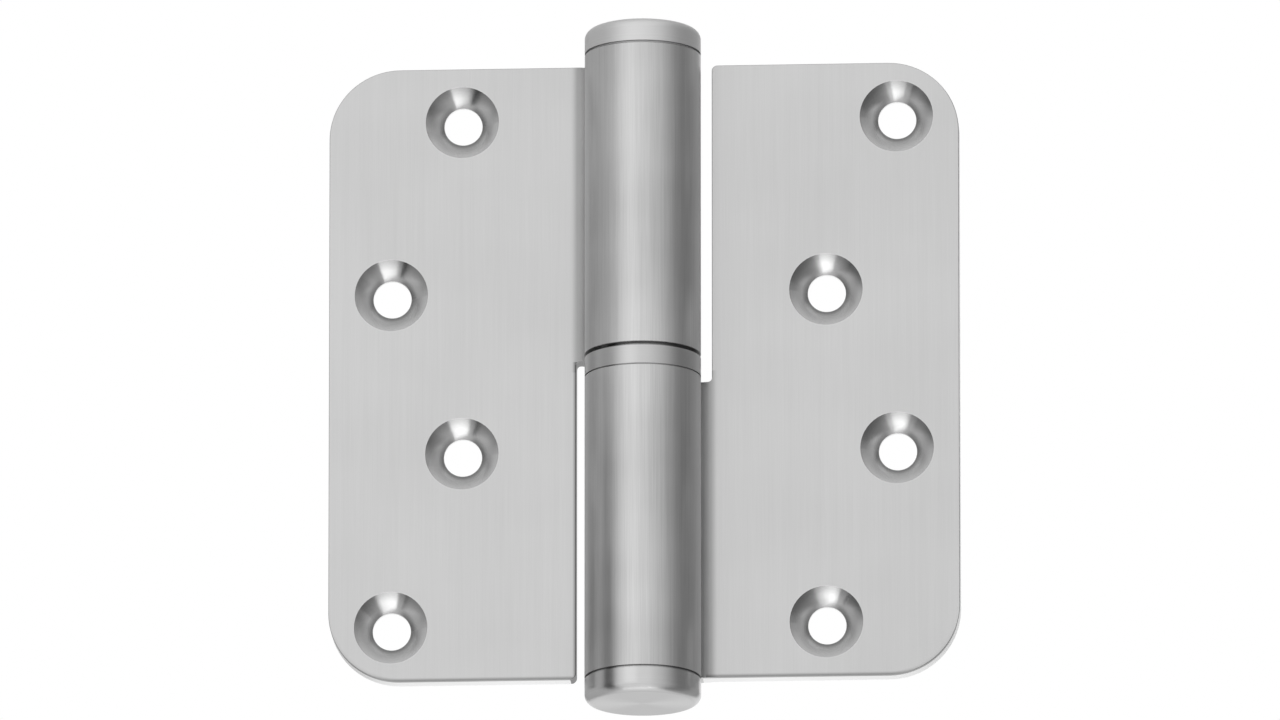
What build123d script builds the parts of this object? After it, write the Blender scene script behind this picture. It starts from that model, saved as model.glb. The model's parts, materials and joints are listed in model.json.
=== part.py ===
from build123d import *
from math import asin, atan2, cos, hypot, sin
import os

# Lift-off ball bearing door hinge, laid open flat.
# Each leaf is one stamped steel sheet whose edge is curled into a knuckle. The pin is pressed into
# the lower knuckle, a caged thrust bearing sits round it on that knuckle, and the upper knuckle drops
# over the pin onto the bearing. A pressed cap closes the outer end of each knuckle.
# Frame, in millimetres: Z is the pin axis, up as the hinge hangs; X runs across the open leaves;
# -Y is the countersunk front of the leaves and +Y their back, against door and door frame.
# The origin is on the pin axis, halfway up.

# Leaves
leaf_height = 89.0
open_width = 89.0
sheet = 3.0
corner_radius = 10.0
face_setback = 2.7        # front face of the leaves behind the pin axis, half the gap when closed
seam_gap = 0.25           # between the curled end of the sheet and the leaf
knuckle_clearance = 1.4   # from one leaf's cut edge to the other leaf's knuckle
bend_radius = 1.0         # inside the bend that sets the knuckle forward of the leaf
notch_radius = 0.6
tip_radius = 0.8
edge_break = 0.08

# Screw holes, staggered in two columns of each leaf
screw_hole = 5.4
countersink = 10.4
outer_column = 8.8        # from the leaf's outer edge
inner_column = 18.8
end_row = 7.8             # from the leaf's ends
middle_row = 32.9

# Knuckles, pin and caps
knuckle_bore = 10.4
knuckle_overhang = 0.7    # of each knuckle beyond the end of the leaf
knuckle_chamfer = 0.05
pin_running_clearance = 0.05
pin_lead = 2.0
pin_lead_depth = 0.8
pin_end_gap = 1.0         # from the pin's tip to the upper cap
cap_rim = 3.7
cap_round = 1.3
cap_groove = 0.3          # height of the shadow groove between cap and knuckle
cap_groove_depth = 0.4
cap_plug = 6.0
cap_plug_lead = 0.6

# Thrust bearing
bearing_height = 3.3
shell_wall = 0.6
shell_gap = 0.55          # open line between the bearing's shell and the upper knuckle
shell_groove = 0.15       # height of the shadow groove between the shell and the lower knuckle
shell_groove_depth = 0.3
race_thickness = 1.0
race_clearance = 0.2      # of the turning race, to the pin inside and the shell outside
ball_count = 12
ball_diameter = 1.5
groove_clearance = 0.02
cage_height = 0.7
cage_clearance = 0.2      # to the pin and the shell
pocket_clearance = 0.04

# Worked out from the sizes above
bore_r = knuckle_bore / 2
knuckle_r = bore_r + sheet
pin_r = bore_r - pin_running_clearance
plate_front = face_setback
plate_back = face_setback + sheet
outer_edge = open_width / 2
cut_edge = knuckle_r + knuckle_clearance
joint_edge = cut_edge + notch_radius
leaf_end = leaf_height / 2
knuckle_start = bearing_height / 2
knuckle_end = leaf_end + knuckle_overhang
plug_end = knuckle_end - cap_plug
shell_inner_r = knuckle_r - shell_wall
ball_r = ball_diameter / 2
ball_pitch_r = (pin_r + shell_inner_r) / 2
cut_margin = 1.0


def revolved(points):
    """Solid of revolution about the pin axis, from (radius, height) corners."""
    return revolve(Plane.XZ * make_face(Polyline(*points, close=True)), Axis.Z)


def leaf_sections():
    """Sections across the pin axis of a leaf that runs to -X: the bend beside the knuckle, and the curl."""
    bend_back = plate_back + bend_radius
    turn = asin((bend_radius + knuckle_r) / hypot(cut_edge, bend_back)) - atan2(bend_back, cut_edge)
    across = Vector(-sin(turn), cos(turn))
    bend_centre = Vector(-cut_edge, bend_back)

    def front_face(offset):
        """Front surface of flat, bend and straight into the curl, moved forward by the offset."""
        radius = bend_radius + sheet + offset
        flat_end = Vector(-cut_edge, plate_front - offset)
        bend_end = bend_centre - across * radius
        flat = Line((-joint_edge, plate_front - offset), flat_end)
        bend = RadiusArc(flat_end, bend_end, -radius)
        return flat, bend, Line(bend_end, across * (bore_r - offset))

    def ribbon(near, far):
        """Face between two such surfaces."""
        ends = Line(near[0] @ 0, far[0] @ 0), Line(near[-1] @ 1, far[-1] @ 1)
        return make_face(Curve(children=[*near, *far, *ends]))

    bend = ribbon(front_face(0), front_face(-sheet))
    seam = ribbon(front_face(0), front_face(seam_gap))
    curl = Circle(knuckle_r) - Circle(bore_r) - seam
    return bend, curl


def flat_plate():
    """Flat of the leaf that runs to -X, with its round corners and broken edges."""
    width = outer_edge - cut_edge
    outline = Pos(-outer_edge, 0) * Rectangle(width, leaf_height, align=(Align.MIN, Align.CENTER))
    outline = fillet(outline.vertices().group_by(Axis.X)[0], corner_radius)
    tip = outline.vertices().group_by(Axis.X)[-1].sort_by(Axis.Y)[0]
    outline = fillet(tip, tip_radius)
    plate = extrude(Plane.XZ.offset(-plate_back) * outline, sheet)
    faces = plate.faces().filter_by(Axis.Y)
    return chamfer(faces.edges(), edge_break)


def notch():
    """Room under this leaf's knuckle for the other leaf's knuckle, with round upper corners."""
    outline = Pos(0, knuckle_start) * Rectangle(2 * cut_edge, leaf_height, align=(Align.CENTER, Align.MAX))
    outline = fillet(outline.vertices().group_by(Axis.Y)[-1], notch_radius)
    return extrude(Plane.XZ * outline, open_width, both=True)


def screw_cut():
    """Countersunk clearance hole for one screw, its head towards -Y and its face at y = 0."""
    hole = Cylinder(screw_hole / 2, sheet + 2 * cut_margin)
    head_r = countersink / 2 + cut_margin
    cone_height = head_r - screw_hole / 2
    head = Cone(screw_hole / 2, head_r, cone_height, align=(Align.CENTER, Align.CENTER, Align.MAX))
    cut = Pos(0, 0, -sheet / 2) * hole + Pos(0, 0, cut_margin) * head
    return Rot(90, 0, 0) * cut


def screw_places():
    """Hole centres (x, z) of the leaf that runs to -X, from the top down."""
    columns = (inner_column, outer_column, inner_column, outer_column)
    rows = (end_row, middle_row, leaf_height - middle_row, leaf_height - end_row)
    return [(column - outer_edge, leaf_end - row) for column, row in zip(columns, rows)]


def leaf():
    """Door leaf: runs to -X, with its knuckle in the upper half."""
    bend, curl = leaf_sections()
    strip_start = knuckle_start - notch_radius
    strip = Pos(0, 0, strip_start) * extrude(bend, leaf_end - strip_start)
    knuckle = Pos(0, 0, knuckle_start) * extrude(curl, knuckle_end - knuckle_start)
    made = strip - notch() + flat_plate() + knuckle
    for end, inward in ((knuckle_end, -1), (knuckle_start, 1)):
        slope = knuckle_chamfer + edge_break
        corners = [
            (knuckle_r - knuckle_chamfer, end),
            (knuckle_r + edge_break, end),
            (knuckle_r + edge_break, end + inward * slope),
        ]
        made = made - revolved(corners)
    for x, z in screw_places():
        made = made - Pos(x, plate_front, z) * screw_cut()
    return made


def end_cap():
    """Upper cap: a plug pressed into the knuckle under a round-edged rim as wide as the knuckle."""
    rim = [
        (0, knuckle_end),
        (knuckle_r - cap_groove_depth, knuckle_end),
        (knuckle_r - cap_groove_depth, knuckle_end + cap_groove),
        (knuckle_r, knuckle_end + cap_groove),
        (knuckle_r, knuckle_end + cap_rim),
        (0, knuckle_end + cap_rim),
    ]
    plug = [
        (0, knuckle_end),
        (bore_r, knuckle_end),
        (bore_r, plug_end + cap_plug_lead),
        (bore_r - cap_plug_lead, plug_end),
        (0, plug_end),
    ]
    head = revolved(rim)
    top_edge = head.edges().filter_by(GeomType.CIRCLE).group_by(Axis.Z)[-1]
    return fillet(top_edge, cap_round) + revolved(plug)


def hinge_pin():
    """Pin: full size where the lower knuckle grips it, a running fit above, with a tapered tip."""
    tip = plug_end - pin_end_gap
    return revolved([
        (0, -plug_end),
        (bore_r, -plug_end),
        (bore_r, -knuckle_start),
        (pin_r, -knuckle_start),
        (pin_r, tip - pin_lead),
        (pin_r - pin_lead_depth, tip),
        (0, tip),
    ])


def ring(inner, outer, low, high):
    """Plain ring about the pin axis."""
    return revolved([(inner, low), (outer, low), (outer, high), (inner, high)])


def bearing_shell():
    """Visible outer ring of the bearing, standing on the lower knuckle."""
    foot = -knuckle_start
    top = knuckle_start - shell_gap
    return revolved([
        (shell_inner_r, foot),
        (knuckle_r - shell_groove_depth, foot),
        (knuckle_r - shell_groove_depth, foot + shell_groove),
        (knuckle_r, foot + shell_groove),
        (knuckle_r, top),
        (shell_inner_r, top),
    ])


def ball_groove():
    """Round track that the balls run in, cut into both races."""
    return Torus(ball_pitch_r, ball_r + groove_clearance)


def lower_race():
    """Fixed race, pressed into the shell."""
    low = -knuckle_start
    return ring(pin_r + race_clearance, shell_inner_r, low, low + race_thickness) - ball_groove()


def upper_race():
    """Turning race, which carries the upper knuckle just above the shell."""
    outer = shell_inner_r - race_clearance
    high = knuckle_start
    return ring(pin_r + race_clearance, outer, high - race_thickness, high) - ball_groove()


def ball_cage():
    """Flat ring with one round pocket for each ball."""
    half = cage_height / 2
    cage = ring(pin_r + cage_clearance, shell_inner_r - cage_clearance, -half, half)
    pocket = Cylinder(ball_r + pocket_clearance, cage_height + cut_margin)
    return cage - [place * pocket for place in PolarLocations(ball_pitch_r, ball_count)]


def turned_over(piece):
    """The same piece on the other half of the hinge: half a turn about the front-to-back axis."""
    return piece.rotate(Axis.Y, 180)


door_leaf = leaf()
upper_end_cap = end_cap()
nodes = {
    "door_leaf": door_leaf,
    "frame_leaf": turned_over(door_leaf),
    "upper_end_cap": upper_end_cap,
    "lower_end_cap": turned_over(upper_end_cap),
    "hinge_pin": hinge_pin(),
    "bearing_shell": bearing_shell(),
    "bearing_lower_race": lower_race(),
    "bearing_upper_race": upper_race(),
    "ball_cage": ball_cage(),
}
for number, place in enumerate(PolarLocations(ball_pitch_r, ball_count), start=1):
    nodes[f"bearing_ball_{number:02d}"] = place * Sphere(ball_r)

os.makedirs("parts", exist_ok=True)
for name, solid in nodes.items():
    export_step(solid, f"parts/{name}.step")
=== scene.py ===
import bpy
import json
from math import cos, radians, sin
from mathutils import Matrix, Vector


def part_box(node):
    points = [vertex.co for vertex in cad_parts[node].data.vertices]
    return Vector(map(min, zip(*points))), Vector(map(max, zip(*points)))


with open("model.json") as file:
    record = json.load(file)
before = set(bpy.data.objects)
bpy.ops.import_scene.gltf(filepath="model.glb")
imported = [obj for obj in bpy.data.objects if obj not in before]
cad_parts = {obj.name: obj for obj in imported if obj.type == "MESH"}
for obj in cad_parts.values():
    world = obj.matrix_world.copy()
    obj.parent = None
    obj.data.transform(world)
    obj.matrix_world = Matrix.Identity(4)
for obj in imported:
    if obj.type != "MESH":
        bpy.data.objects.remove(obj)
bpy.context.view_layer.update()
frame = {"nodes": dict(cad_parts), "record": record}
nodes = frame["nodes"]

# The leaves
# Each leaf is one stamping of 3 mm stainless sheet, its edge curled into a knuckle. The sheet is
# brushed along the pin, and the countersinks are drilled after brushing, so their cones are turned.

millimetre = 0.001
screw_lines = [mount for mount in frame["record"]["mounts"] if mount["kind"] == "bolt_pattern"]


def screw_places():
    """Centres of the screw holes on the back of the leaves, two to each line."""
    places = []
    for line in screw_lines:
        half = 0.5 * line["dims"]["spacing_y_mm"] * millimetre
        for end in (half, -half):
            places.append(Vector(line["pos_m"]) + Vector((0, 0, end)))
    return places


# Sizes, in metres
sheet_thickness = 0.003
corner_radius = 0.010
tip_radius = 0.0008
slot_clearance = 0.0014
knuckle_overhang = 0.0007
countersink_radius = 0.0052
hole_radius = screw_lines[0]["dims"]["hole_r_mm"] * millimetre
leaf_low, leaf_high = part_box("door_leaf")
shell_low, shell_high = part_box("bearing_shell")
knuckle_radius = shell_high.x
knuckle_start = -shell_low.z
knuckle_end = leaf_high.z
half_width = -leaf_low.x
half_height = knuckle_end - knuckle_overhang
plate_back = screw_places()[0].y
plate_front = plate_back - sheet_thickness
slot_edge = knuckle_radius + slot_clearance

# How far a mask reaches past the surface that it covers
skin = 0.00005
knuckle_edge = knuckle_radius + skin


def grey(tone):
    """A neutral colour."""
    return (tone, tone, tone, 1)


def new_material(name):
    """A material with nothing but its shader: the material, its node tree and the shader."""
    material = bpy.data.materials.new(name)
    material.use_nodes = True
    tree = material.node_tree
    return material, tree, tree.nodes["Principled BSDF"]


# What a group can be given
point = "NodeSocketVector"
number = "NodeSocketFloat"


def new_group(name, inputs, outputs):
    """A shader node group that puts out numbers: its tree, what it is given and what it puts out."""
    tree = bpy.data.node_groups.new(name, "ShaderNodeTree")
    for socket, kind in inputs.items():
        tree.interface.new_socket(socket, in_out="INPUT", socket_type=kind)
    for socket in outputs:
        tree.interface.new_socket(socket, in_out="OUTPUT", socket_type=number)
    given = tree.nodes.new("NodeGroupInput").outputs
    result = tree.nodes.new("NodeGroupOutput").inputs
    return tree, given, result


def feed(tree, socket, value):
    """Links a socket to another one, or sets it to a plain value."""
    if isinstance(value, bpy.types.NodeSocket):
        tree.links.new(value, socket)
    else:
        socket.default_value = value


def use_group(tree, group, **values):
    """Places a group with its inputs linked or set, and gives its outputs."""
    node = tree.nodes.new("ShaderNodeGroup")
    node.node_tree = group
    for socket, value in values.items():
        feed(tree, node.inputs[socket.replace("_", " ")], value)
    return node.outputs


def math_node(tree, operation, first, second=0.0, third=0.0, clamp=False):
    """One step of arithmetic, or one comparison that gives 1 or 0."""
    node = tree.nodes.new("ShaderNodeMath")
    node.operation = operation
    node.use_clamp = clamp
    for socket, value in zip(node.inputs, (first, second, third)):
        feed(tree, socket, value)
    return node.outputs[0]


def product(tree, first, *others):
    """Masks and strengths multiplied: where all of the masks hold, as strongly as said."""
    for other in others:
        first = math_node(tree, "MULTIPLY", first, other)
    return first


def vector_node(tree, operation, first, second):
    """Two points multiplied, or the distance between them."""
    node = tree.nodes.new("ShaderNodeVectorMath")
    node.operation = operation
    feed(tree, node.inputs[0], first)
    feed(tree, node.inputs[1], second)
    return node.outputs["Value" if operation == "DISTANCE" else "Vector"]


def split_axes(tree, vector):
    """The X, Y and Z of a point or a direction."""
    node = tree.nodes.new("ShaderNodeSeparateXYZ")
    feed(tree, node.inputs[0], vector)
    return tuple(node.outputs)


def join_axes(tree, **values):
    """A point from its X, Y and Z, with 0 for any that isn't given."""
    node = tree.nodes.new("ShaderNodeCombineXYZ")
    for axis, value in values.items():
        feed(tree, node.inputs[axis], value)
    return node.outputs[0]


def noise_node(tree, vector, scale, detail):
    """Cloudy noise from about 0 to 1."""
    fine_share = 0.55
    node = tree.nodes.new("ShaderNodeTexNoise")
    feed(tree, node.inputs["Vector"], vector)
    node.inputs["Scale"].default_value = scale
    node.inputs["Detail"].default_value = detail
    node.inputs["Roughness"].default_value = fine_share
    return node.outputs["Fac"]


def blend_values(tree, factor, first, second):
    """From the first number at factor 0 to the second at 1."""
    node = tree.nodes.new("ShaderNodeMix")
    node.data_type = "FLOAT"
    feed(tree, node.inputs[0], factor)
    feed(tree, node.inputs[2], first)
    feed(tree, node.inputs[3], second)
    return node.outputs[0]


def blend_colours(tree, factor, first, second):
    """From the first colour at factor 0 to the second at 1."""
    node = tree.nodes.new("ShaderNodeMix")
    node.data_type = "RGBA"
    feed(tree, node.inputs[0], factor)
    feed(tree, node.inputs[6], first)
    feed(tree, node.inputs[7], second)
    return node.outputs[2]


def blend_range(tree, value, start, end):
    """Rises smoothly from 0 at the start value to 1 at the end value, which may be the lower one."""
    node = tree.nodes.new("ShaderNodeMapRange")
    node.interpolation_type = "SMOOTHSTEP"
    feed(tree, node.inputs["Value"], value)
    node.inputs["From Min"].default_value = start
    node.inputs["From Max"].default_value = end
    return node.outputs["Result"]


def object_place(tree):
    """Where a point lies in the hinge's own frame."""
    return tree.nodes.new("ShaderNodeTexCoord").outputs["Object"]


def object_normal(tree):
    """The surface's normal in the object's own axes, so that it turns with the leaf."""
    turn = tree.nodes.new("ShaderNodeVectorTransform")
    turn.vector_type = "NORMAL"
    turn.convert_from = "WORLD"
    turn.convert_to = "OBJECT"
    feed(tree, turn.inputs[0], tree.nodes.new("ShaderNodeNewGeometry").outputs["Normal"])
    return turn.outputs[0]


def add_bump(tree, shader, height, strength):
    """Fine relief of the tool marks."""
    mark_depth = 0.00002
    bump = tree.nodes.new("ShaderNodeBump")
    bump.inputs["Strength"].default_value = strength
    bump.inputs["Distance"].default_value = mark_depth
    feed(tree, bump.inputs["Height"], height)
    feed(tree, shader.inputs["Normal"], bump.outputs["Normal"])


def finish_nodes(material, *names):
    """Gives the named pieces their finish."""
    for name in names:
        nodes[name].data.materials.clear()
        nodes[name].data.materials.append(material)


def make_brushing():
    """Straight brushing along the pin: hairlines, wider bands and a slow cloud over the sheet."""
    band_scale = 0.12
    band_share = 0.4
    cloud_scale = 60.0
    cloud_share = 0.45
    inputs = {"Place": point, "Line Width": number, "Line Length": number}
    tree, given, result = new_group("brushing along the pin", inputs, ("Tone", "Height"))
    across = math_node(tree, "DIVIDE", 1.0, given["Line Width"])
    along = math_node(tree, "DIVIDE", 1.0, given["Line Length"])
    stretch = join_axes(tree, X=across, Y=across, Z=along)
    stretched = vector_node(tree, "MULTIPLY", given["Place"], stretch)
    hairlines = noise_node(tree, stretched, scale=1.0, detail=3.0)
    bands = noise_node(tree, stretched, scale=band_scale, detail=2.0)
    cloud = noise_node(tree, given["Place"], scale=cloud_scale, detail=2.0)
    lines = blend_values(tree, band_share, hairlines, bands)
    feed(tree, result["Tone"], blend_values(tree, cloud_share, lines, cloud))
    feed(tree, result["Height"], hairlines)
    return tree


def make_lathe_marks():
    """Fine rings left by a turning tool, across the distance from the axis and along it."""
    inputs = {"Radius": number, "Depth": number, "Pitch": number}
    tree, given, result = new_group("lathe marks", inputs, ("Tone",))
    path = math_node(tree, "ADD", given["Radius"], given["Depth"])
    turns = math_node(tree, "DIVIDE", path, given["Pitch"])
    feed(tree, result["Tone"], noise_node(tree, join_axes(tree, X=turns), scale=1.0, detail=3.0))
    return tree


def make_countersinks():
    """Where the drilled cones are, and how far each point is from the nearest hole's axis."""
    rim_skin = 0.00002
    tree, given, result = new_group("countersinks", {"Place": point}, ("Mask", "Radius"))
    depth = split_axes(tree, given["Place"])[1]
    flat = vector_node(tree, "MULTIPLY", given["Place"], (1, 0, 1))
    nearest = None
    for place in screw_places():
        away = vector_node(tree, "DISTANCE", flat, (place.x, 0, place.z))
        nearest = away if nearest is None else math_node(tree, "MINIMUM", nearest, away)
    inside = math_node(tree, "LESS_THAN", nearest, countersink_radius + rim_skin)
    before_back = math_node(tree, "LESS_THAN", depth, plate_back - skin)
    feed(tree, result["Mask"], product(tree, inside, before_back))
    feed(tree, result["Radius"], nearest)
    return tree


def make_cut_edges():
    """Where the sheared edges are, which part of them is the burnish band that takes painted shade, and
    which lie in the slot.
    """
    edge_lean = 0.3
    burnish_width = 0.0007
    notch_reach = 0.00055
    slot_end = slot_edge + tip_radius
    slot_depth = knuckle_start + notch_reach
    inputs = {"Place": point, "Normal": point}
    tree, given, result = new_group("cut edges", inputs, ("Mask", "Burnished Shade", "Slot"))
    x, y, z = split_axes(tree, given["Place"])
    across = math_node(tree, "ABSOLUTE", x)
    on_plate = math_node(tree, "GREATER_THAN", across, knuckle_edge)
    lean = math_node(tree, "ABSOLUTE", split_axes(tree, given["Normal"])[1])
    square = math_node(tree, "LESS_THAN", lean, edge_lean)
    feed(tree, result["Mask"], product(tree, on_plate, square))
    feed(tree, result["Burnished Shade"], math_node(tree, "LESS_THAN", y, plate_front + burnish_width))
    beside_slot = math_node(tree, "LESS_THAN", across, slot_end)
    side_and_end = math_node(tree, "MULTIPLY", x, z)
    in_slot = math_node(tree, "GREATER_THAN", side_and_end, -slot_end * slot_depth)
    feed(tree, result["Slot"], product(tree, beside_slot, in_slot))
    return tree


def make_rolled_edge_shade():
    """Where the punch bent the front over, painted as a dark reflection: lower border and door leaf's
    slot.
    """
    width = 0.00055
    corner_strength = 0.3
    front_skin = 0.0001
    stop_short = 0.00015
    slot_top = knuckle_start - stop_short
    tree, given, result = new_group("rolled edge shade", {"Place": point}, ("Mask",))
    x, y, z = split_axes(tree, given["Place"])
    across = math_node(tree, "SUBTRACT", math_node(tree, "ABSOLUTE", x), half_width - corner_radius)
    across = math_node(tree, "MAXIMUM", across, 0.0)
    down = math_node(tree, "SUBTRACT", math_node(tree, "MULTIPLY", z, -1.0), half_height - corner_radius)
    down = math_node(tree, "MAXIMUM", down, 0.0)
    reach = vector_node(tree, "DISTANCE", join_axes(tree, X=across, Z=down), (0, 0, 0))
    near_border = blend_range(tree, reach, corner_radius - width, corner_radius)
    below = math_node(tree, "DIVIDE", down, corner_radius)
    round_corner = blend_range(tree, across, 0.0, 0.5 * corner_radius)
    fading = blend_values(tree, round_corner, 1.0, corner_strength)
    border = product(tree, near_border, below, fading)
    near_slot = blend_range(tree, x, -slot_edge - width, -slot_edge)
    on_left = math_node(tree, "LESS_THAN", x, 0.0)
    beside_slot = math_node(tree, "LESS_THAN", z, slot_top)
    slot = product(tree, near_slot, on_left, beside_slot)
    in_front = math_node(tree, "COMPARE", y, plate_front, front_skin)
    either = math_node(tree, "MAXIMUM", border, slot)
    feed(tree, result["Mask"], product(tree, either, in_front))
    return tree


def make_bend_shade():
    """Where the bend beside a knuckle holds its shade: from the knuckle's flank out onto the flat."""
    off_knuckle = 0.0002
    half = 0.001
    start = knuckle_radius + off_knuckle
    tree, given, result = new_group("bend shade", {"Place": point}, ("Mask",))
    x, _, z = split_axes(tree, given["Place"])
    across = math_node(tree, "ABSOLUTE", x)
    rise = blend_range(tree, across, start, start + half)
    fall = blend_range(tree, across, start + 2 * half, start + half)
    by_knuckle = math_node(tree, "LESS_THAN", math_node(tree, "MULTIPLY", x, z), 0.0)
    feed(tree, result["Mask"], product(tree, rise, fall, by_knuckle))
    return tree


brushing = make_brushing()
lathe_marks = make_lathe_marks()
countersinks = make_countersinks()
cut_edges = make_cut_edges()
rolled_edge_shade = make_rolled_edge_shade()
bend_shade = make_bend_shade()

sheet_greys = (grey(0.49), grey(0.665))
black = grey(0.0)


def brushed_face(tree, place, on_knuckle):
    """Brushed sheet: its colour, roughness and height, with more contrast round the knuckle."""
    knuckle_contrast = 3.0
    middle_tone = 0.5
    smoothest = 0.26
    roughest = 0.40
    brushed = use_group(tree, brushing, Place=place, Line_Width=0.00016, Line_Length=0.014)
    contrast = blend_values(tree, on_knuckle, 1.0, knuckle_contrast)
    off_middle = math_node(tree, "SUBTRACT", brushed["Tone"], middle_tone)
    tone = math_node(tree, "ADD", product(tree, off_middle, contrast), middle_tone, clamp=True)
    colour = blend_colours(tree, tone, *sheet_greys)
    roughness = blend_values(tree, brushed["Tone"], smoothest, roughest)
    return colour, roughness, brushed["Height"]


def drilled_cone(tree, radius, depth, upward):
    """Drilled cone: fine rings, painted shade round the hole and on the upper rim, a painted highlight on
    the lower.
    """
    hole_shade_strength = 0.75
    rim_shade_strength = 0.6
    rim_highlight_strength = 0.8
    # Tones of the painted shade and the painted highlight in the cone
    cone_shade_grey = grey(0.24)
    cone_highlight_grey = grey(0.85)
    smoothest = 0.12
    roughest = 0.22
    off_hole = 0.0001
    band_width = 0.0008
    rim_width = 0.0014
    band_inside = hole_radius + off_hole
    # Upward part of the normal, which is lowest at the top of the cone
    off_top_facing = (-0.69, -0.55)
    over_hole_facing = (0.1, -0.35)
    turned = use_group(tree, lathe_marks, Radius=radius, Depth=depth, Pitch=0.00022)["Tone"]
    near_hole = blend_range(tree, radius, band_inside + band_width, band_inside)
    near_rim = blend_range(tree, radius, countersink_radius - rim_width, countersink_radius)
    off_top = blend_range(tree, upward, *off_top_facing)
    over_hole = blend_range(tree, upward, *over_hole_facing)
    hole_shade = product(tree, near_hole, off_top, hole_shade_strength)
    upper_rim_shade = product(tree, near_rim, over_hole, rim_shade_strength)
    elsewhere = math_node(tree, "SUBTRACT", rim_highlight_strength, over_hole, clamp=True)
    lower_rim_highlight = product(tree, near_rim, elsewhere)
    colour = blend_colours(tree, turned, *sheet_greys)
    # Painted shade round the hole and along the upper rim, then a painted highlight along the lower rim
    colour = blend_colours(tree, math_node(tree, "MAXIMUM", hole_shade, upper_rim_shade), colour, cone_shade_grey)
    colour = blend_colours(tree, lower_rim_highlight, colour, cone_highlight_grey)
    roughness = blend_values(tree, turned, smoothest, roughest)
    return colour, roughness, turned


def sheared_edge(tree, cut, upward):
    """Sheared edge: pale where it broke, lightened further as a painted highlight; painted shade on the
    burnish band and in the slot.
    """
    pale_lit_grey = grey(0.92)
    burnished_shade_grey = grey(0.3)
    slot_shade_grey = grey(0.17)
    pale_roughness = 0.35
    burnished_roughness = 0.3
    underneath_facing = (-0.2, -0.6)
    top_facing = 0.5
    underneath = blend_range(tree, upward, *underneath_facing)
    burnished_and_shaded = product(tree, cut["Burnished Shade"], underneath)
    colour = blend_colours(tree, burnished_and_shaded, pale_lit_grey, burnished_shade_grey)
    not_on_top = math_node(tree, "LESS_THAN", upward, top_facing)
    colour = blend_colours(tree, product(tree, cut["Slot"], not_on_top), colour, slot_shade_grey)
    roughness = blend_values(tree, burnished_and_shaded, pale_roughness, burnished_roughness)
    return colour, roughness


def shaded_knuckle_ends(tree, on_knuckle, height, upward):
    """Where the end faces of the knuckles take painted shade, in the gaps beside the shell and the caps.
    """
    end_facing = 0.7
    end_margin = 0.0004
    end_face = math_node(tree, "GREATER_THAN", math_node(tree, "ABSOLUTE", upward), end_facing)
    from_middle = math_node(tree, "ABSOLUTE", height)
    inner = math_node(tree, "LESS_THAN", from_middle, knuckle_start + end_margin)
    outer = math_node(tree, "GREATER_THAN", from_middle, knuckle_end - end_margin)
    return product(tree, on_knuckle, end_face, math_node(tree, "MAXIMUM", inner, outer))


# Painted dark reflection along the punched edges
rolled_shade_strength = 0.9
rolled_shade_grey = grey(0.2)
shade_strength = 0.32
# Painted shade on the knuckles' end faces
knuckle_end_shade_grey = grey(0.1)

leaf_steel, tree, shader = new_material("leaf steel")
place = object_place(tree)
facing = object_normal(tree)
across, depth, height = split_axes(tree, place)
upward = split_axes(tree, facing)[2]
on_knuckle = math_node(tree, "LESS_THAN", math_node(tree, "ABSOLUTE", across), knuckle_edge)

# Brushed faces, with the drilled cones in them
drilled = use_group(tree, countersinks, Place=place)
colour, roughness, relief = brushed_face(tree, place, on_knuckle)
cone_colour, cone_roughness, cone_relief = drilled_cone(tree, drilled["Radius"], depth, upward)
colour = blend_colours(tree, drilled["Mask"], colour, cone_colour)
roughness = blend_values(tree, drilled["Mask"], roughness, cone_roughness)
relief = blend_values(tree, drilled["Mask"], relief, cone_relief)

# Painted shade on the faces: a painted dark reflection along the punched edges, painted shade in the bends
# and on the knuckles' ends
rolled_shade = use_group(tree, rolled_edge_shade, Place=place)["Mask"]
shaded = use_group(tree, bend_shade, Place=place)["Mask"]
shaded_ends = shaded_knuckle_ends(tree, on_knuckle, height, upward)
colour = blend_colours(tree, product(tree, rolled_shade, rolled_shade_strength), colour, rolled_shade_grey)
colour = blend_colours(tree, product(tree, shaded, shade_strength), colour, black)
colour = blend_colours(tree, shaded_ends, colour, knuckle_end_shade_grey)

# Sheared edges, with a painted highlight and painted shade
cut = use_group(tree, cut_edges, Place=place, Normal=facing)
edge_colour, edge_roughness = sheared_edge(tree, cut, upward)
colour = blend_colours(tree, cut["Mask"], colour, edge_colour)
roughness = blend_values(tree, cut["Mask"], roughness, edge_roughness)

feed(tree, shader.inputs["Base Color"], colour)
feed(tree, shader.inputs["Roughness"], roughness)
add_bump(tree, shader, relief, strength=0.12)
shader.inputs["Metallic"].default_value = 1.0
shader.inputs["Anisotropic"].default_value = 0.5
finish_nodes(leaf_steel, "door_leaf", "frame_leaf")

# The end caps and the bearing's shell
# Turned from stainless bar to the knuckle's size: a round-edged cap is pressed into the outer end of
# each knuckle, the upper one rougher than the lower and painted a lighter grey as painted light, and
# the thin ring between the knuckles is the bearing's outer shell.


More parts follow.
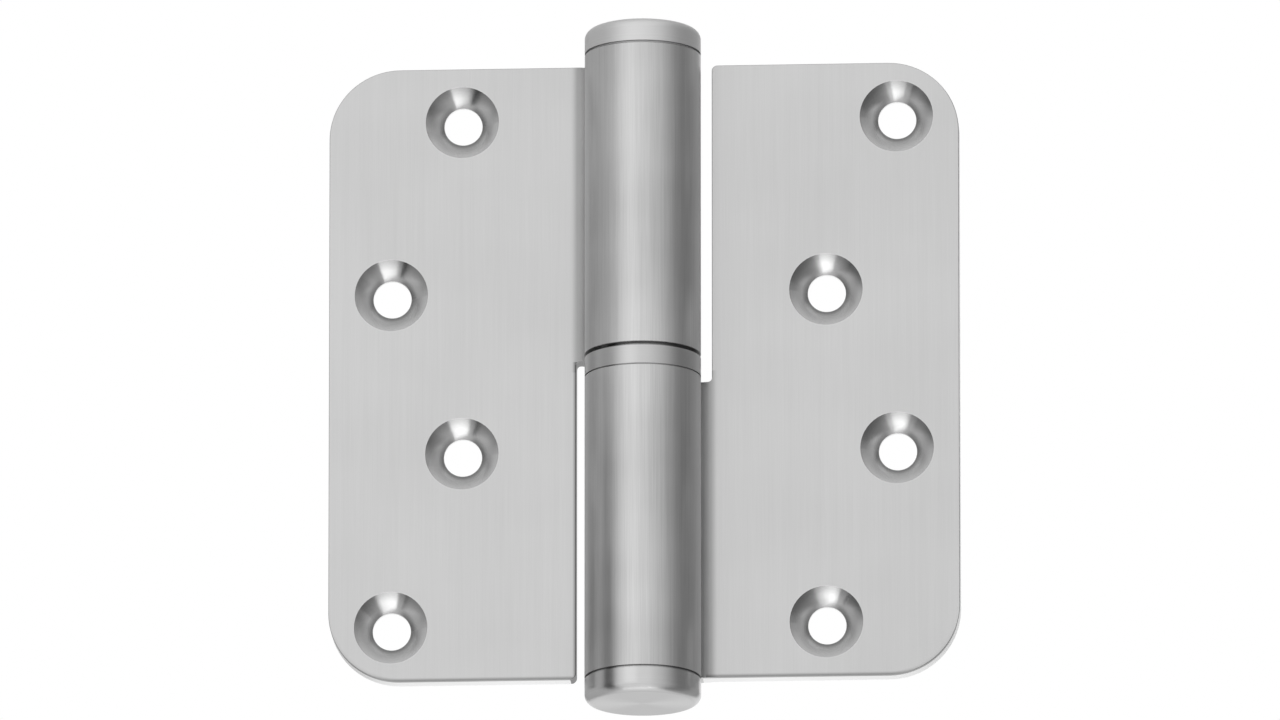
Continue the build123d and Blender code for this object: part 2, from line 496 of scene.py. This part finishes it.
def turned_metal(name, pitch, colours, roughness, end_shade=0.0, anisotropy=0.0, anisotropy_turn=0.0):
    """Metal turned about the pin axis, with its tool marks as rings and its flat ends shaded."""
    cloud_scale = 120.0
    cloud_share = 0.35
    end_facing = (0.85, 0.98)
    material, tree, shader = new_material(name)
    place = object_place(tree)
    height = split_axes(tree, place)[2]
    flat = vector_node(tree, "MULTIPLY", place, (1, 1, 0))
    radius = vector_node(tree, "DISTANCE", flat, (0, 0, 0))
    rings = use_group(tree, lathe_marks, Radius=radius, Depth=height, Pitch=pitch)["Tone"]
    cloud = noise_node(tree, place, scale=cloud_scale, detail=2.0)
    tone = blend_values(tree, cloud_share, rings, cloud)
    colour = blend_colours(tree, tone, *colours)
    if end_shade:
        upward = split_axes(tree, object_normal(tree))[2]
        at_end = blend_range(tree, math_node(tree, "ABSOLUTE", upward), *end_facing)
        colour = blend_colours(tree, product(tree, at_end, end_shade), colour, black)
    feed(tree, shader.inputs["Base Color"], colour)
    feed(tree, shader.inputs["Roughness"], blend_values(tree, tone, *roughness))
    add_bump(tree, shader, rings, strength=0.10)
    shader.inputs["Metallic"].default_value = 1.0
    shader.inputs["Anisotropic"].default_value = anisotropy
    shader.inputs["Anisotropic Rotation"].default_value = anisotropy_turn
    return material


cap_pitch = 0.00025
quarter_turn = 0.25
cap_steel = turned_metal(
    "cap steel", pitch=cap_pitch, colours=(grey(0.52), grey(0.66)), roughness=(0.24, 0.38),
    end_shade=0.12, anisotropy=0.7, anisotropy_turn=quarter_turn,
)
finish_nodes(cap_steel, "lower_end_cap")
# Upper cap: a rougher finish, and a lighter grey than the lower cap as painted light
dull_lighter_cap_steel = turned_metal(
    "dull cap steel painted lighter", pitch=cap_pitch, colours=(grey(0.64), grey(0.78)), roughness=(0.48, 0.62),
    end_shade=0.2, anisotropy=0.3, anisotropy_turn=quarter_turn,
)
finish_nodes(dull_lighter_cap_steel, "upper_end_cap")
shell_steel = turned_metal(
    "shell steel", pitch=0.00018, colours=(grey(0.50), grey(0.60)), roughness=(0.22, 0.36), anisotropy=0.3,
)
finish_nodes(shell_steel, "bearing_shell")

# The pin
# Ground stainless rod, pressed into the lower knuckle; its upper half runs bare in the upper knuckle
# and shows only when the door is lifted off.

pin_steel = turned_metal(
    "pin steel", pitch=0.00012, colours=(grey(0.56), grey(0.66)), roughness=(0.14, 0.24),
)
finish_nodes(pin_steel, "hinge_pin")

# The bearing inside the shell
# Two ground washers with a track for the balls, polished balls, and the punched brass ring that
# spaces them.

race_steel = turned_metal(
    "race steel", pitch=0.0001, colours=(grey(0.26), grey(0.34)), roughness=(0.12, 0.24),
)
finish_nodes(race_steel, "bearing_lower_race", "bearing_upper_race")
ball_steel = turned_metal(
    "ball steel", pitch=0.0006, colours=(grey(0.66), grey(0.70)), roughness=(0.05, 0.09),
)
finish_nodes(ball_steel, *[name for name in nodes if name.startswith("bearing_ball")])
dark_brass = (0.58, 0.40, 0.14, 1)
light_brass = (0.72, 0.52, 0.22, 1)
cage_brass = turned_metal(
    "cage brass", pitch=0.0002, colours=(dark_brass, light_brass), roughness=(0.25, 0.4),
)
finish_nodes(cage_brass, "ball_cage")

# The studio
# White surroundings all round, a pale floor far below the hinge, grey cards at its sides and above it
# that the round metal shows as its darker bands, a soft lamp in front and a small one underneath. A
# narrow dark card low on the left makes the dark strip on the lower knuckle.


def lit_material(name):
    """A matt surface that gives its own even light, for the floor and the cards."""
    material, tree, shader = new_material(name)
    shader.inputs["Base Color"].default_value = black
    shader.inputs["Roughness"].default_value = 1.0
    shader.inputs["Specular IOR Level"].default_value = 0.0
    shader.inputs["Emission Strength"].default_value = 1.0
    return material, tree, shader


def sheet_between(name, corners, material):
    """A flat sheet of the stage, from its four corners."""
    mesh = bpy.data.meshes.new(name)
    mesh.from_pydata(corners, [], [(0, 1, 2, 3)])
    sheet = bpy.data.objects.new(name, mesh)
    sheet.data.materials.append(material)
    bpy.context.scene.collection.objects.link(sheet)
    return sheet


def plain_sheet(name, corners, tone):
    """A flat sheet of one tone."""
    material, _, shader = lit_material(name)
    shader.inputs["Emission Color"].default_value = grey(tone)
    return sheet_between(name, corners, material)


def level_corners(z, half, near, far):
    """Corners of a level sheet, as wide to the left as to the right."""
    return [(-half, near, z), (half, near, z), (half, far, z), (-half, far, z)]


def upright_corners(x, near, far, low, high):
    """Corners of a sheet that stands at one side of the hinge."""
    return [(x, near, low), (x, far, low), (x, far, high), (x, near, high)]


def graded_card(name, x, tones):
    """An upright card at one side, graded from front to back by (y, tone), out of the camera's sight."""
    near = tones[0][0]
    far = tones[-1][0]
    material, tree, shader = lit_material(name)
    along = tree.nodes.new("ShaderNodeMapRange")
    feed(tree, along.inputs["Value"], split_axes(tree, object_place(tree))[1])
    along.inputs["From Min"].default_value = near
    along.inputs["From Max"].default_value = far
    ramp = tree.nodes.new("ShaderNodeValToRGB")
    feed(tree, ramp.inputs["Fac"], along.outputs["Result"])
    stops = ramp.color_ramp.elements
    while len(stops) < len(tones):
        stops.new(1.0)
    for stop, (y, tone) in zip(stops, tones):
        stop.position = (y - near) / (far - near)
        stop.color = grey(tone)
    feed(tree, shader.inputs["Emission Color"], ramp.outputs["Color"])
    corners = upright_corners(x, near, far, card_low, card_high)
    sheet_between(name, corners, material).visible_camera = False


floor_drop = -4.5
floor_half = 60.0
plain_sheet("studio_floor", level_corners(floor_drop, floor_half, -floor_half, floor_half), tone=0.95)

card_side = 0.5
card_low = -1.25
card_high = 0.6
right_tones = [
    (-1.4, 0.9), (-0.6, 0.74), (-0.42, 0.6), (-0.29, 0.45), (-0.12, 0.22),
    (0.1, 0.24), (0.25, 0.42), (0.5, 0.42), (0.9, 0.3),
]
left_tones = [(-0.45, 0.64), (-0.2, 0.57), (-0.09, 0.5), (0.1, 0.58), (0.5, 0.54), (1.4, 0.35)]
graded_card("right_card", card_side, right_tones)
graded_card("left_card", -card_side, left_tones)
low_corners = upright_corners(x=-0.15, near=-0.105, far=-0.033, low=-0.2, high=0.03)
plain_sheet("low_card", low_corners, tone=0.05).visible_camera = False
top_corners = level_corners(card_high, card_side, near=-0.05, far=0.6)
plain_sheet("top_card", top_corners, tone=0.52).visible_camera = False


def soft_lamp(name, place, width, height, power):
    """A rectangular lamp that faces the hinge, out of the camera's sight."""
    lamp = bpy.data.lights.new(name, "AREA")
    lamp.shape = "RECTANGLE"
    lamp.size = width
    lamp.size_y = height
    lamp.energy = power
    lamp_object = bpy.data.objects.new(name, lamp)
    lamp_object.location = place
    lamp_object.rotation_euler = (-Vector(place)).to_track_quat("-Z", "Y").to_euler()
    lamp_object.visible_camera = False
    bpy.context.scene.collection.objects.link(lamp_object)


soft_lamp("front_lamp", place=(-0.5, -1.23, 0.36), width=0.6, height=0.9, power=0.46)
soft_lamp("low_lamp", place=(-0.012, -0.061, -0.25), width=0.19, height=0.03, power=0.022)

world = bpy.data.worlds.new("white studio")
world.use_nodes = True
background = world.node_tree.nodes["Background"]
background.inputs["Color"].default_value = grey(1.0)
background.inputs["Strength"].default_value = 1.0
bpy.context.scene.world = world
bpy.context.scene.view_settings.view_transform = "Standard"

# The camera
# It looks up at the front of the hinge from a little to the right, through a long lens.

camera_azimuth = radians(3.4)
camera_elevation = radians(-14.5)
camera_distance = 4.0
sensor_width = 36.0
image_width = 1280
image_height = 720
pixels_per_metre = 7100.0
pin_pixel = Vector((642.8, 366.6))

towards_camera = Vector((
    sin(camera_azimuth) * cos(camera_elevation),
    -cos(camera_azimuth) * cos(camera_elevation),
    sin(camera_elevation),
))
camera_turn = towards_camera.to_track_quat("Z", "Y")
right = camera_turn @ Vector((1, 0, 0))
up = camera_turn @ Vector((0, 1, 0))
off_centre = (pin_pixel - Vector((image_width / 2, image_height / 2))) / pixels_per_metre
aim = -off_centre.x * right + off_centre.y * up
camera = bpy.data.cameras.new("camera")
camera.sensor_width = sensor_width
camera.lens = pixels_per_metre * camera_distance * sensor_width / image_width
camera_object = bpy.data.objects.new("camera", camera)
camera_object.location = aim + towards_camera * camera_distance
camera_object.rotation_euler = camera_turn.to_euler()
bpy.context.scene.collection.objects.link(camera_object)
bpy.context.scene.camera = camera_object
